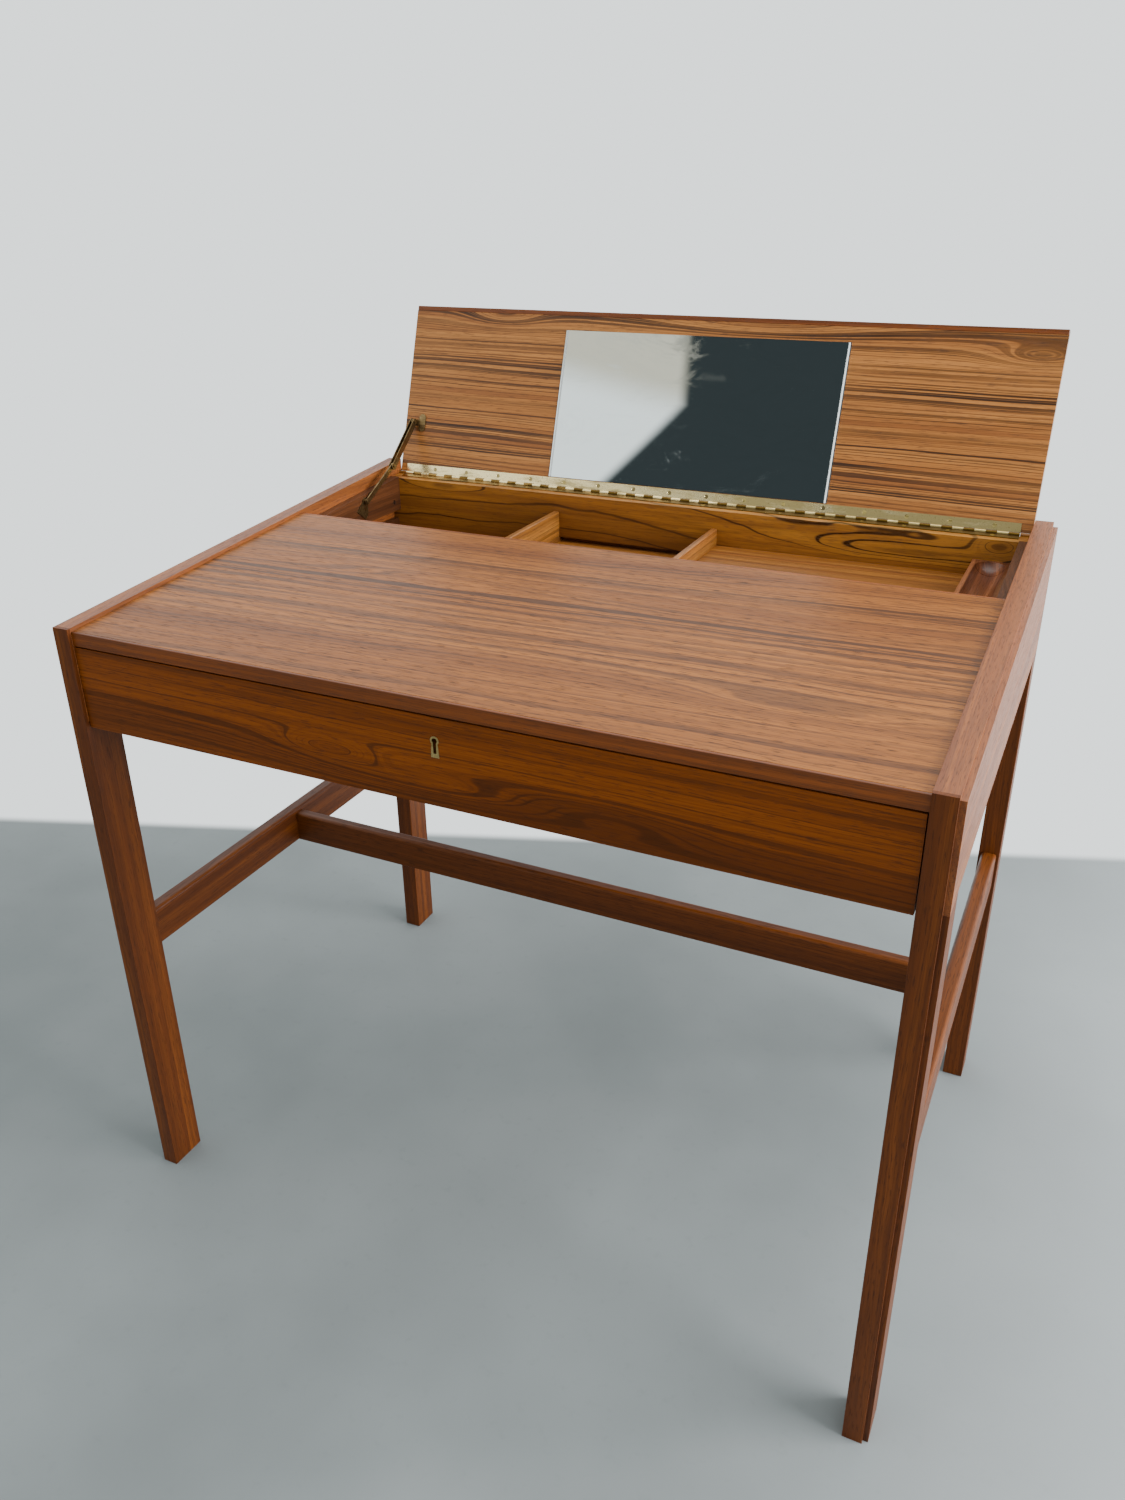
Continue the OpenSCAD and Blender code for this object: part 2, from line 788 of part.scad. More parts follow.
module stay_foot() {
  x0 = lining_face;
  x1 = x0 + foot_plate;
  color("darkgoldenrod") difference() {
    union() {
      translate([x0, foot_y, foot_z]) rotate([90, 0, 90])
        linear_extrude(height = foot_plate)
          polygon([[-5, 1], [4.5, 2], [5.5, -17], [-1, -24], [-20, -10]]);
      translate([0, foot_y, foot_z]) rod_x(x0, x1, 5.5);
      translate([0, foot_y, foot_z]) rod_x(x1 - 0.2, lower_arm_x - stay_gap, 3.6);
      translate([0, foot_y, foot_z])
        rod_x(x1, lower_arm_x + lower_arm_thickness + stay_gap, stay_pin);
      translate([0, foot_y, foot_z])
        rod_x(lower_arm_x + lower_arm_thickness + stay_gap,
              lower_arm_x + lower_arm_thickness + stay_gap + 1.2, 3);
    }
    foot_screws(1);
  }
}

module stay_foot_screws() color("olive") foot_screws(0);

// Screws of the bracket on the lid, or their holes when grow is 1.
module bracket_screws(grow) {
  for (s = [-7, 7])
    translate([bracket_x, -bracket_along + s, lid_under - bracket_plate])
      if (grow > 0)
        screw_seat(2.2, 1.1, 9);
      else
        wood_screw(2.2, 1.1, 9);
}

module stay_bracket() {
  xa = lower_arm_x;
  xb = xa + lower_arm_thickness;
  zp = lid_under - bracket_plate;
  color("darkgoldenrod") on_lid() difference() {
    union() {
      block([bracket_x - 5, -bracket_along - 7, zp], [bracket_x + 5, -bracket_along + 7, lid_under]);
      for (s = [-7, 7])
        translate([bracket_x, -bracket_along + s, zp]) cylinder(h = bracket_plate, r = 5);
      block([xa, -bracket_along - 4, zp], [bracket_x, -bracket_along + 4, lid_under]);
      block([xa, -bracket_along - 4, lid_under - bracket_off], [xb, -bracket_along + 4, lid_under - 0.5]);
      translate([0, -bracket_along, lid_under - bracket_off]) {
        rod_x(xa, xb, 4);
        rod_x(upper_left_x - stay_gap, upper_right_x + sheet + stay_gap, stay_pin);
        rod_x(upper_right_x + sheet + stay_gap - 0.1, upper_right_x + sheet + stay_gap + 0.9, 2.8);
      }
    }
    bracket_screws(1);
  }
}

module stay_bracket_screws() color("olive") on_lid() bracket_screws(0);

module stay_lower_arm() {
  x0 = lower_arm_x;
  x1 = x0 + lower_arm_thickness;
  w = lower_arm_width / 2;
  color("darkgoldenrod") translate([0, foot_y, foot_z]) rotate([lower_arm_angle, 0, 0]) difference() {
    union() {
      block([x0, 0, -w], [x1, lower_arm_length, w]);
      rod_x(x0, x1, 4);
      translate([0, lower_arm_length, 0]) rod_x(x0, x1, 4);
      translate([0, lower_arm_length, 0])
        rod_x(upper_left_x + sheet + 0.35, upper_right_x - 0.35, 2.4);
    }
    rod_x(x0 - 1, x1 + 1, stay_pin + 0.08);
  }
}

module stay_upper_arm() {
  xl = upper_left_x;
  xr = upper_right_x;
  w = upper_arm_width / 2;
  n = upper_arm_length;
  color("darkgoldenrod") translate([0, pivot_y, pivot_z]) rotate([upper_arm_angle, 0, 0]) difference() {
    union() {
      for (x = [xl, xr]) {
        block([x, 0, -w], [x + sheet, n, w]);
        rod_x(x, x + sheet, w);
        translate([0, n, 0]) rod_x(x, x + sheet, w + 0.6);
      }
      // web on the side away from the lid, stopping short of both pivots
      block([xl, 8, w - sheet], [xr + sheet, n - 26, w]);
      translate([0, n, 0]) rod_x(xr + sheet - 0.1, xr + sheet + 0.9, 2.8);
    }
    rod_x(xl - 1, xr + sheet + 1, stay_pin + 0.08);
  }
}

// ---------- drawer ----------

// Opening for the key, running through Y.
module keyhole_shape() {
  s = keyhole_slot / 2;
  translate([0, 30, keyhole_z]) rotate([90, 0, 0]) cylinder(h = 60, r = keyhole_radius);
  block([-s, -30, keyhole_z + plate_radius - plate_height + 4], [s, 30, keyhole_z]);
}

// Keyhole plate outline, running through Y.
module plate_outline(y0, y1, grow) {
  r = plate_radius + grow;
  zb = keyhole_z + plate_radius - plate_height - grow;
  translate([0, y1, keyhole_z]) rotate([90, 0, 0]) cylinder(h = y1 - y0, r = r);
  translate([0, y1, 0]) rotate([90, 0, 0]) linear_extrude(height = y1 - y0)
    polygon([[-4.2 - grow, zb], [4.2 + grow, zb],
             [3.3 + grow, keyhole_z - 3], [-3.3 - grow, keyhole_z - 3]]);
}

module drawer_front() {
  color("saddlebrown") difference() {
    block([-drawer_half, front_y, drawer_bottom], [drawer_half, front_inside, drawer_top]);
    plate_outline(front_y - 1, front_y + plate_thickness - plate_proud, 0.05);
    translate([0, front_y, 0]) keyhole_shape();
    block([-drawer_half + drawer_side_thickness - base_groove, front_inside - base_groove, base_z - 0.1],
          [drawer_half - drawer_side_thickness + base_groove, front_inside + 1,
           base_z + drawer_base_thickness + 0.1]);
    lock_screw_row(1);
  }
}

// Left side of the drawer.
module drawer_side() {
  x1 = -drawer_half + drawer_side_thickness;
  g = runner_clearance;
  difference() {
    block([-drawer_half, front_inside, drawer_side_z],
          [x1, drawer_rear, drawer_side_z + drawer_side_height]);
    block([-drawer_half - 1, runner_front - 2, runner_z - g],
          [-inner + runner_width + 0.8, drawer_rear + 1, runner_z + runner_height + g]);
    block([x1 - base_groove - 0.1, front_inside - 1, base_z - 0.1],
          [x1 + 1, drawer_rear + 1, base_z + drawer_base_thickness + 0.1]);
  }
}

module drawer_side_left() color("tan") drawer_side();
module drawer_side_right() color("tan") on_side(1) drawer_side();

module drawer_back() {
  x = drawer_half - drawer_side_thickness;
  color("tan")
    block([-x, drawer_rear - drawer_back_thickness, base_z + drawer_base_thickness + 0.1],
          [x, drawer_rear, drawer_side_z + drawer_side_height - 6]);
}

module drawer_base() {
  x = drawer_half - drawer_side_thickness + base_groove;
  color("wheat")
    block([-x, front_inside - base_groove + 0.1, base_z], [x, drawer_rear, base_z + drawer_base_thickness]);
}

module keyhole_plate() {
  color("gold") difference() {
    plate_outline(front_y - plate_proud, front_y + plate_thickness - plate_proud, 0);
    translate([0, front_y, 0]) keyhole_shape();
  }
}

module lock_screw_row(grow) {
  for (s = [-1, 1])
    translate([s * (lock_width / 2 - 5), front_inside + 1.5, lock_top - lock_height + 6])
      rotate([90, 0, 0])
        if (grow > 0)
          screw_seat(2.2, 1, 9);
        else
          wood_screw(2.2, 1, 9);
}

module lock_case() {
  y0 = front_inside;
  y1 = y0 + lock_depth;
  z0 = lock_top - lock_height;
  yb = y0 + lock_depth / 2;
  color("darkgoldenrod") difference() {
    union() {
      block([-lock_width / 2 + 9, y0, z0], [lock_width / 2 - 9, y1, lock_top]);
      block([-lock_width / 2, y0, z0], [lock_width / 2, y0 + 1.5, lock_top]);
    }
    block([-bolt_width / 2 - 0.4, yb - bolt_thickness / 2 - 0.4, lock_top - 22],
          [bolt_width / 2 + 0.4, yb + bolt_thickness / 2 + 0.4, lock_top + 1]);
    translate([0, y0, 0]) keyhole_shape();
    lock_screw_row(1);
  }
}

module lock_screws() color("goldenrod") lock_screw_row(0);

module lock_bolt() {
  yb = front_inside + lock_depth / 2;
  color("gold")
    block([-bolt_width / 2, yb - bolt_thickness / 2, lock_top - 14],
          [bolt_width / 2, yb + bolt_thickness / 2, lock_top + 1]);
}

leg_front_left();
leg_front_right();
leg_rear_left();
leg_rear_right();
side_rail_left();
side_rail_right();
side_stretcher_left();
side_stretcher_right();
cross_stretcher();
top_board();
top_front_edge();
top_rear_edge();
back_rail();
inner_wall();
side_lining_left();
side_lining_right();
lower_cleat_left();
divider_left();
divider_right();
floor_left();
floor_middle();
floor_right();
pencil_tray();
lining_screws();
drawer_runner_left();
drawer_runner_right();
runner_screws();
hinge_leaf_fixed();
hinge_pin();
hinge_screws_fixed();
stay_foot();
stay_foot_screws();
lid_panel();
lid_front_edge();
mirror_glass();
hinge_leaf_lid();
hinge_screws_lid();
stay_bracket();
stay_bracket_screws();
stay_lower_arm();
stay_upper_arm();
drawer_front();
drawer_side_left();
drawer_side_right();
drawer_back();
drawer_base();
keyhole_plate();
lock_case();
lock_screws();
lock_bolt();
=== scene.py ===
"""Looks of the vanity table: teak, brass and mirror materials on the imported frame.

The CAD pieces keep their shapes and get materials and eased edges. Lengths are in metres.
Noise scales are features per metre, and the pair of numbers in a level() call turns a noise
into a mask.
"""
import json
import math

import bpy
from mathutils import Matrix, Vector


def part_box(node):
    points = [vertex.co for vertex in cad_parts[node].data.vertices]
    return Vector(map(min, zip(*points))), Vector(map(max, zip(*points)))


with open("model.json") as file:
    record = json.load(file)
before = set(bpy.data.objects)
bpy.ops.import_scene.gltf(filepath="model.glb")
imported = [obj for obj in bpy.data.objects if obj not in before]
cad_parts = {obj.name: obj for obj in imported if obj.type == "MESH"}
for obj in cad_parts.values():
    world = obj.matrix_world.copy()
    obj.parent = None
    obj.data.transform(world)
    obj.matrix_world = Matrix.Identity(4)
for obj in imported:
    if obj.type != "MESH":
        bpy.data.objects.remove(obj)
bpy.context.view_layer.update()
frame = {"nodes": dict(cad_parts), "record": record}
nodes = frame["nodes"]
joints = {joint["name"]: joint for joint in frame["record"]["behaviour"]["joints"]}

BLACK = (0.0, 0.0, 0.0)


# ---------- small helpers for shader trees ----------

class Tree:
    """A shader node tree, built up by short calls that return sockets."""

    def __init__(self, tree):
        self.tree = tree

    def node(self, kind):
        return self.tree.nodes.new("ShaderNode" + kind)

    def put(self, target, value):
        """Link a socket to the target, or set the target to a constant."""
        if isinstance(value, bpy.types.NodeSocket):
            self.tree.links.new(value, target)
        else:
            target.default_value = value

    def math(self, operation, first, second=None, clamp=False):
        node = self.node("Math")
        node.operation = operation
        node.use_clamp = clamp
        for target, value in zip(node.inputs, (first, second)):
            if value is not None:
                self.put(target, value)
        return node.outputs[0]

    def add(self, *terms):
        total = terms[0]
        for term in terms[1:]:
            total = self.math("ADD", total, term)
        return total

    def minus(self, first, second):
        return self.math("SUBTRACT", first, second)

    def times(self, first, second):
        return self.math("MULTIPLY", first, second)

    def vector(self, x, y, z):
        node = self.node("CombineXYZ")
        for target, value in zip(node.inputs, (x, y, z)):
            self.put(target, value)
        return node.outputs[0]

    def split(self, vector):
        node = self.node("SeparateXYZ")
        self.put(node.inputs[0], vector)
        return node.outputs[0], node.outputs[1], node.outputs[2]

    def noise(self, vector, scale, detail, roughness=0.5, distortion=0.0):
        node = self.node("TexNoise")
        self.put(node.inputs["Vector"], vector)
        node.inputs["Scale"].default_value = scale
        node.inputs["Detail"].default_value = detail
        node.inputs["Roughness"].default_value = roughness
        node.inputs["Distortion"].default_value = distortion
        return node.outputs[0]

    def noise_line(self, value, scale, detail, roughness):
        node = self.node("TexNoise")
        node.noise_dimensions = "1D"
        self.put(node.inputs["W"], value)
        node.inputs["Scale"].default_value = scale
        node.inputs["Detail"].default_value = detail
        node.inputs["Roughness"].default_value = roughness
        return node.outputs[0]

    def ramp(self, value, stops):
        """Colours at places from 0 to 1, blended smoothly."""
        node = self.node("ValToRGB")
        node.color_ramp.interpolation = "EASE"
        self.put(node.inputs[0], value)
        ends = node.color_ramp.elements
        while len(ends) < len(stops):
            ends.new(0.5)
        for element, (place, shade) in zip(ends, stops):
            element.position = place
            element.color = (*shade, 1.0)
        return node.outputs[0]

    def level(self, value, low, high):
        """0 at low, 1 at high, smooth between them."""
        node = self.node("MapRange")
        node.interpolation_type = "SMOOTHSTEP"
        self.put(node.inputs[0], value)
        node.inputs[1].default_value = low
        node.inputs[2].default_value = high
        return node.outputs[0]

    def mix(self, share, first, second, blend="MIX"):
        node = self.node("Mix")
        node.data_type = "RGBA"
        node.blend_type = blend
        self.put(node.inputs[0], share)
        for target, value in ((node.inputs[6], first), (node.inputs[7], second)):
            if isinstance(value, tuple):
                value = (*value, 1.0)
            self.put(target, value)
        return node.outputs[2]


class Shader(Tree):
    """A new material with a Principled surface."""

    def __init__(self, name):
        self.material = bpy.data.materials.new(name)
        self.material.use_nodes = True
        super().__init__(self.material.node_tree)
        self.tree.nodes.clear()
        output = self.node("OutputMaterial")
        self.surface = self.node("BsdfPrincipled")
        self.tree.links.new(self.surface.outputs[0], output.inputs["Surface"])

    def place(self, centre=None, turn_x=0.0):
        """The piece's own coordinates, turned about X round a centre, as three sockets."""
        point = self.node("TexCoord").outputs["Object"]
        if centre is not None:
            turn = self.node("VectorRotate")
            turn.rotation_type = "X_AXIS"
            self.put(turn.inputs["Vector"], point)
            turn.inputs["Center"].default_value = centre
            turn.inputs["Angle"].default_value = turn_x
            point = turn.outputs[0]
        return self.split(point)

    def facing(self, direction):
        """Cosine between the surface's normal and a direction of the piece's own frame."""
        node = self.node("VectorMath")
        node.operation = "DOT_PRODUCT"
        self.put(node.inputs[0], self.node("TexCoord").outputs["Normal"])
        node.inputs[1].default_value = direction
        return node.outputs["Value"]

    def bump(self, height, strength, distance):
        node = self.node("Bump")
        node.inputs["Strength"].default_value = strength
        node.inputs["Distance"].default_value = distance
        self.put(node.inputs["Height"], height)
        self.put(self.surface.inputs["Normal"], node.outputs[0])

    def finish(self, colour, roughness, **settings):
        self.put(self.surface.inputs["Base Color"], colour)
        self.put(self.surface.inputs["Roughness"], roughness)
        for name, value in settings.items():
            self.put(self.surface.inputs[name.replace("_", " ")], value)
        return self.material


def srgb(red, green, blue):
    """A colour in 0-255 screen values, as linear light."""
    def linear(value):
        value /= 255.0
        return value / 12.92 if value <= 0.04045 else ((value + 0.055) / 1.055) ** 2.4
    return linear(red), linear(green), linear(blue)


# ---------- wood ----------

# The lid's grain is laid out as on the shut lid, so the open lid's coordinates are turned shut.
LID_TRAVEL = math.radians(joints["lid_hinge"]["range_deg"][1])
HINGE = Vector(joints["lid_hinge"]["pos_m"])

SEED_STEP = 1.37    # how far along the grain one unit of seed moves
DEPTH_LEAN = 0.35   # how far the rings move across the grain on the way into the wood
RING_OPENING = 0.25  # a ring line's core, as a share of its width
STREAK_SHARE = 0.50
SILK_SHARE = 0.28

# Bends of the growth rings: scale along the grain in stretches, scale across it, roughness,
# and height in wanders.
BENDS = ((1.0, 6.0, 0.45, 4.0),
         (6.0, 26.0, 0.5, 0.8),
         (30.0, 160.0, 0.5, 0.05))

# Noises that follow the rings: an offset that keeps them apart, pace against the rings, detail
# and roughness.
BANDS = (0.0, 0.35, 2.0, 0.5)
RING = (3.1, 1.0, 1.0, 0.5)
THREADS = (7.7, 5.0, 2.0, 0.6)
GROUPS = (1.3, 0.22, 1.0, 0.5)

# Noises that follow the grain: scales along, across and into it, detail and roughness.
STREAKS = (3.0, 130.0, 90.0, 4.0, 0.62)
SILK = (14.0, 520.0, 400.0, 3.0, 0.6)
PORES = (60.0, 850.0, 850.0, 2.0, 0.5)
BROAD = (1.1, 9.0, 9.0, 2.0, 0.5)


def knot_hill(s, along, across, length, width):
    """1 at a knot's centre, falling smoothly to 0 beyond its length and width."""
    along = s.times(along, 1.0 / length)
    across = s.times(across, 1.0 / width)
    reach = s.add(s.times(along, along), s.times(across, across))
    return s.math("DIVIDE", 1.0, s.add(1.0, reach, s.times(reach, reach)))


def wood(name, axes, light, middle, dark, line, *, on_lid=False, seed=0.0, tilt=0.0, knots=(),
         rings=90.0, ring_width=0.10, ring_share=1.0, threads=0.5, wander=0.012, stretch=1.4,
         patch=0.5, pore=0.5, shine=0.42, gloss=0.35, eye_dark=0.0, outside=None):
    """Teak cut along the grain. axes names the grain, across and depth directions.

    The growth rings are the contour lines of one smooth field: the distance across the
    grain, bent by a slow wander and by a hill for each knot. A knot is its place along and
    across the grain, its length, its width and the height of its hill. outside is a direction
    and a tint for the face that looks that way.
    """
    s = Shader(name)
    where = s.place(HINGE, LID_TRAVEL) if on_lid else s.place()
    grain, across, depth = (where["xyz".index(axis)] for axis in axes)
    start = seed * SEED_STEP
    grain = s.add(grain, start)

    def cloud(along, sideways, inwards, detail, roughness):
        stretched = s.vector(s.times(grain, along), s.times(across, sideways),
                             s.times(depth, inwards))
        return s.noise(stretched, 1.0, detail, roughness)

    bends = []
    for along, sideways, roughness, height in BENDS:
        bend = cloud(stretch * along, sideways, sideways, 2.0, roughness)
        bends.append(s.times(s.minus(bend, 0.5), wander * height))
    field = s.add(across, s.times(grain, tilt), *bends, s.times(depth, DEPTH_LEAN))
    eyes = None
    for knot_grain, knot_across, length, width, height in knots:
        hill = knot_hill(s, s.minus(grain, knot_grain + start), s.minus(across, knot_across),
                         length, width)
        field = s.add(field, s.times(hill, height))
        eyes = hill if eyes is None else s.math("MAXIMUM", eyes, hill)

    def contours(offset, pace, detail, roughness):
        return s.noise_line(s.add(field, offset), rings * pace, detail, roughness)

    streaks, silk, pores = cloud(*STREAKS), cloud(*SILK), cloud(*PORES)
    body = s.ramp(contours(*BANDS), ((0.32, dark), (0.48, middle), (0.66, light)))
    body = s.mix(s.times(s.level(cloud(*BROAD), 0.38, 0.66), patch), body, light)
    body = s.mix(s.times(s.level(streaks, 0.56, 0.34), STREAK_SHARE), body, dark)
    body = s.mix(s.times(s.level(contours(*THREADS), 0.52, 0.38), threads), body, dark)

    edge = s.math("ABSOLUTE", s.minus(contours(*RING), 0.5))
    fade = s.noise(s.vector(s.times(grain, 3.4), s.times(across, 20.0), 4.0), 1.0, 2.0)
    presence = s.add(0.30, s.times(s.level(fade, 0.30, 0.62), 0.35),
                     s.times(s.level(contours(*GROUPS), 0.40, 0.58), 0.35))
    strength = s.times(s.level(edge, ring_width, ring_width * RING_OPENING), presence)
    if eyes is not None and eye_dark:
        strength = s.math("MAXIMUM", strength, s.times(s.level(eyes, 0.86, 0.985), eye_dark))

    pits = s.level(pores, 0.43, 0.33)
    colour = s.mix(s.times(strength, ring_share), body, line)
    colour = s.mix(s.times(s.level(silk, 0.58, 0.32), SILK_SHARE), colour, line)
    colour = s.mix(s.times(pits, pore), colour, line)
    if outside is not None:
        away, tint = outside
        colour = s.mix(s.level(s.facing(away), 0.5, 0.9), colour, tint, "MULTIPLY")
    rough = s.add(shine, s.times(s.level(pores, 0.55, 0.32), 0.12), s.times(strength, -0.03))
    s.bump(s.add(s.times(pits, -0.5), s.times(silk, 0.35)), 0.22, 0.0003)
    return s.finish(colour, rough, Specular_IOR_Level=gloss)


def palette(light, middle, dark, line):
    return dict(light=srgb(*light), middle=srgb(*middle), dark=srgb(*dark), line=srgb(*line))


TOP = palette((147, 88, 33), (130, 75, 25), (106, 58, 18), (50, 26, 10))
LID = palette((174, 114, 56), (161, 102, 47), (134, 80, 36), (36, 19, 9))
RAIL = palette((140, 80, 33), (125, 68, 27), (102, 52, 20), (60, 29, 11))
LEG = palette((106, 55, 15), (92, 45, 12), (76, 36, 9), (46, 21, 6))
LINING = palette((88, 50, 26), (74, 41, 20), (58, 30, 14), (34, 17, 8))
FRONT = palette((126, 63, 10), (109, 52, 6), (88, 41, 4), (45, 21, 3))
BACK = palette((157, 103, 41), (139, 85, 32), (104, 59, 23), (31, 16, 8))
TRAY = palette((138, 82, 50), (117, 65, 37), (90, 47, 26), (48, 24, 12))
BOX = palette((180, 138, 88), (163, 119, 71), (138, 96, 55), (92, 61, 32))

LEG_WOOD = dict(LEG, rings=210.0, ring_share=0.30, wander=0.004, pore=0.6, shine=0.42, gloss=0.18)
BOX_WOOD = dict(BOX, rings=120.0, ring_share=0.3, wander=0.006, patch=0.4, pore=0.35, shine=0.55)

front_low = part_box("drawer_front")[0]
board_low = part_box("top_board")[0]
mirror_face = max(nodes["mirror_glass"].data.polygons, key=lambda polygon: polygon.area).normal
LID_OUT = (mirror_face if mirror_face.y > 0 else -mirror_face).copy()
LID_OUT_TINT = (0.80, 0.68, 0.44)   # makes the lid's outer face match the board

MATERIALS = {
    "board": wood("teak_board", "xyz", **TOP, seed=0.2, tilt=-0.03, wander=0.018, rings=62.0,
                  ring_width=0.050, ring_share=0.85, stretch=0.8, threads=0.6, pore=0.85,
                  shine=0.40, gloss=0.22,
                  knots=((0.30, board_low.y + 0.090, 0.12, 0.018, 0.030),
                         (-0.16, board_low.y + 0.255, 0.22, 0.020, -0.026))),
    "lid": wood("teak_lid", "xyz", **LID, on_lid=True, seed=1.9, tilt=-0.012, wander=0.007,
                rings=170.0, ring_width=0.075, ring_share=0.95, stretch=0.7, threads=0.3,
                patch=0.8, pore=0.4, shine=0.36, gloss=0.30, eye_dark=0.5,
                outside=(LID_OUT, LID_OUT_TINT),
                knots=((-0.285, HINGE.y - 0.222, 0.055, 0.016, -0.030),
                       (0.075, HINGE.y - 0.224, 0.14, 0.016, -0.034),
                       (0.40, HINGE.y - 0.196, 0.05, 0.012, -0.026))),
    "rail": wood("teak_rail", "yxz", **RAIL, seed=0.7, rings=190.0, ring_share=0.35,
                 wander=0.004, stretch=1.2, patch=0.35, pore=0.6, gloss=0.34),
    "edge": wood("teak_edge", "xzy", **FRONT, seed=2.6, rings=160.0, ring_share=0.4,
                 wander=0.003, patch=0.6, pore=0.4, shine=0.36),
    "leg": wood("teak_leg", "zyx", **LEG_WOOD, seed=3.3, stretch=1.3, patch=0.4),
    "side_stretcher": wood("teak_side_stretcher", "yzx", **LEG_WOOD, seed=4.1),
    "cross_stretcher": wood("teak_cross_stretcher", "xzy", **LEG_WOOD, seed=5.2),
    "drawer_front": wood("teak_drawer_front", "xzy", **FRONT, seed=6.4, tilt=0.01, wander=0.006,
                         rings=70.0, ring_width=0.05, ring_share=0.60, stretch=1.0,
                         threads=0.35, pore=0.45, shine=0.34, gloss=0.16,
                         knots=((-0.1175, front_low.z + 0.036, 0.055, 0.012, 0.034),
                                (-0.02, front_low.z + 0.022, 0.13, 0.013, 0.026),
                                (0.16, front_low.z + 0.026, 0.10, 0.016, -0.022))),
    "back_rail": wood("teak_back_rail", "xzy", **BACK, seed=7.5, tilt=0.03, wander=0.016,
                      rings=38.0, ring_width=0.05, ring_share=0.95, stretch=2.0, threads=0.2,
                      pore=0.35, shine=0.30, gloss=0.3, eye_dark=0.4,
                      knots=((0.3934, HINGE.z - 0.0104, 0.030, 0.012, 0.040),
                             (0.30, HINGE.z - 0.0275, 0.13, 0.014, 0.044),
                             (-0.34, HINGE.z - 0.0080, 0.07, 0.010, 0.024))),
    "lining": wood("teak_lining", "yzx", **LINING, seed=8.2, rings=120.0, ring_share=0.5,
                   wander=0.008, pore=0.4, shine=0.36, gloss=0.3),
    "tray": wood("teak_tray", "yxz", **TRAY, seed=8.9, rings=160.0, ring_share=0.5,
                 wander=0.004, pore=0.4, shine=0.30, gloss=0.4),
    "floor": wood("teak_floor", "xyz", **BACK, seed=9.1, rings=110.0, ring_share=0.55,
                  wander=0.008, patch=0.4, pore=0.4, shine=0.38),
    "divider": wood("teak_divider", "yzx", **BACK, seed=10.4, rings=120.0, ring_share=0.5,
                    wander=0.006, patch=0.4, pore=0.4, shine=0.38),
    "wall": wood("teak_inner_wall", "xzy", **BACK, seed=11.2, ring_share=0.5, wander=0.010,
                 patch=0.4, pore=0.4),
    "box_side": wood("oak_drawer_side", "yzx", **BOX_WOOD, seed=12.3),
    "box_back": wood("oak_drawer_back", "xzy", **BOX_WOOD, seed=13.3),
    "box_base": wood("birch_ply_base", "xyz", **BOX, seed=14.5, rings=40.0, ring_share=0.3,
                     wander=0.03, patch=0.6, pore=0.2, shine=0.55),
}


# ---------- metal and glass ----------

def brass(name, bright, dull, stain, *, rough, tarnish):
    """Old brass: polished metal under a patchy brown film, with dark specks."""
    s = Shader(name)
    x, y, z = s.place()
    patches = s.noise(s.vector(s.times(x, 14.0), s.times(y, 70.0), s.times(z, 70.0)),
                      1.0, 4.0, 0.62)
    specks = s.noise(s.vector(x, y, z), 900.0, 3.0, 0.6)
    film = s.level(patches, 0.62 - tarnish * 0.35, 0.78 - tarnish * 0.25)
    colour = s.mix(film, bright, dull)
    colour = s.mix(s.times(s.level(specks, 0.60, 0.72), 0.7), colour, stain)
    roughness = s.add(rough, s.times(film, 0.20), s.times(s.level(specks, 0.55, 0.75), 0.2))
    s.bump(s.times(specks, 0.5), 0.12, 0.0002)
    return s.finish(colour, roughness, Metallic=1.0)


def hinge_brass(name, bright, dull, stain, *, start=0.0):
    """The long hinge: clean and pale at the left, browner towards the right.

    start is how brown the left end is already.
    """
    s = Shader(name)
    x, y, z = s.place()
    low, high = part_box("hinge_leaf_lid")
    along = s.times(s.minus(x, low.x), 1.0 / (high.x - low.x))
    patches = s.noise(s.vector(s.times(x, 26.0), s.times(y, 60.0), s.times(z, 120.0)),
                      1.0, 4.0, 0.65)
    film = s.level(s.add(patches, s.times(along, 0.42), start), 0.56, 0.84)
    specks = s.noise(s.vector(x, y, z), 700.0, 3.0, 0.6)
    colour = s.mix(film, bright, dull)
    colour = s.mix(s.times(s.level(specks, 0.58, 0.72), 0.6), colour, stain)
    roughness = s.add(0.20, s.times(film, 0.12), s.times(s.level(specks, 0.5, 0.75), 0.2))
    s.bump(specks, 0.1, 0.0002)
    return s.finish(colour, roughness, Metallic=1.0)


def dark_steel(name):
    """Screw steel, browned and grimy."""
    s = Shader(name)
    x, y, z = s.place()
    grime = s.noise(s.vector(x, y, z), 500.0, 4.0, 0.6)
    colour = s.ramp(grime, ((0.3, srgb(34, 30, 28)), (0.7, srgb(74, 66, 58))))
    s.bump(grime, 0.15, 0.0002)
    return s.finish(colour, s.add(0.35, s.times(grime, 0.3)), Metallic=1.0)


def silvered_glass(name):
    """Mirror glass: a clean silver face with faint wiped smears, and pale ground edges."""
    s = Shader(name)
    ground = s.level(s.math("ABSOLUTE", s.facing(LID_OUT)), 0.985, 0.95)
    x, y, z = s.place(HINGE, LID_TRAVEL)
    smear = s.noise(s.vector(s.times(x, 9.0), s.times(y, 22.0), z), 1.0, 5.0, 0.7, 1.5)
    dust = s.noise(s.vector(x, y, z), 1300.0, 2.0, 0.7)
    roughness = s.add(0.012, s.times(s.level(smear, 0.50, 0.74), 0.10),
                      s.times(s.level(dust, 0.66, 0.80), 0.10), s.times(ground, 0.35))
    silver = s.mix(s.times(s.level(smear, 0.45, 0.75), 0.25),
                   srgb(222, 228, 226), srgb(190, 198, 198))
    return s.finish(s.mix(ground, silver, srgb(250, 252, 250)), roughness, Metallic=1.0)


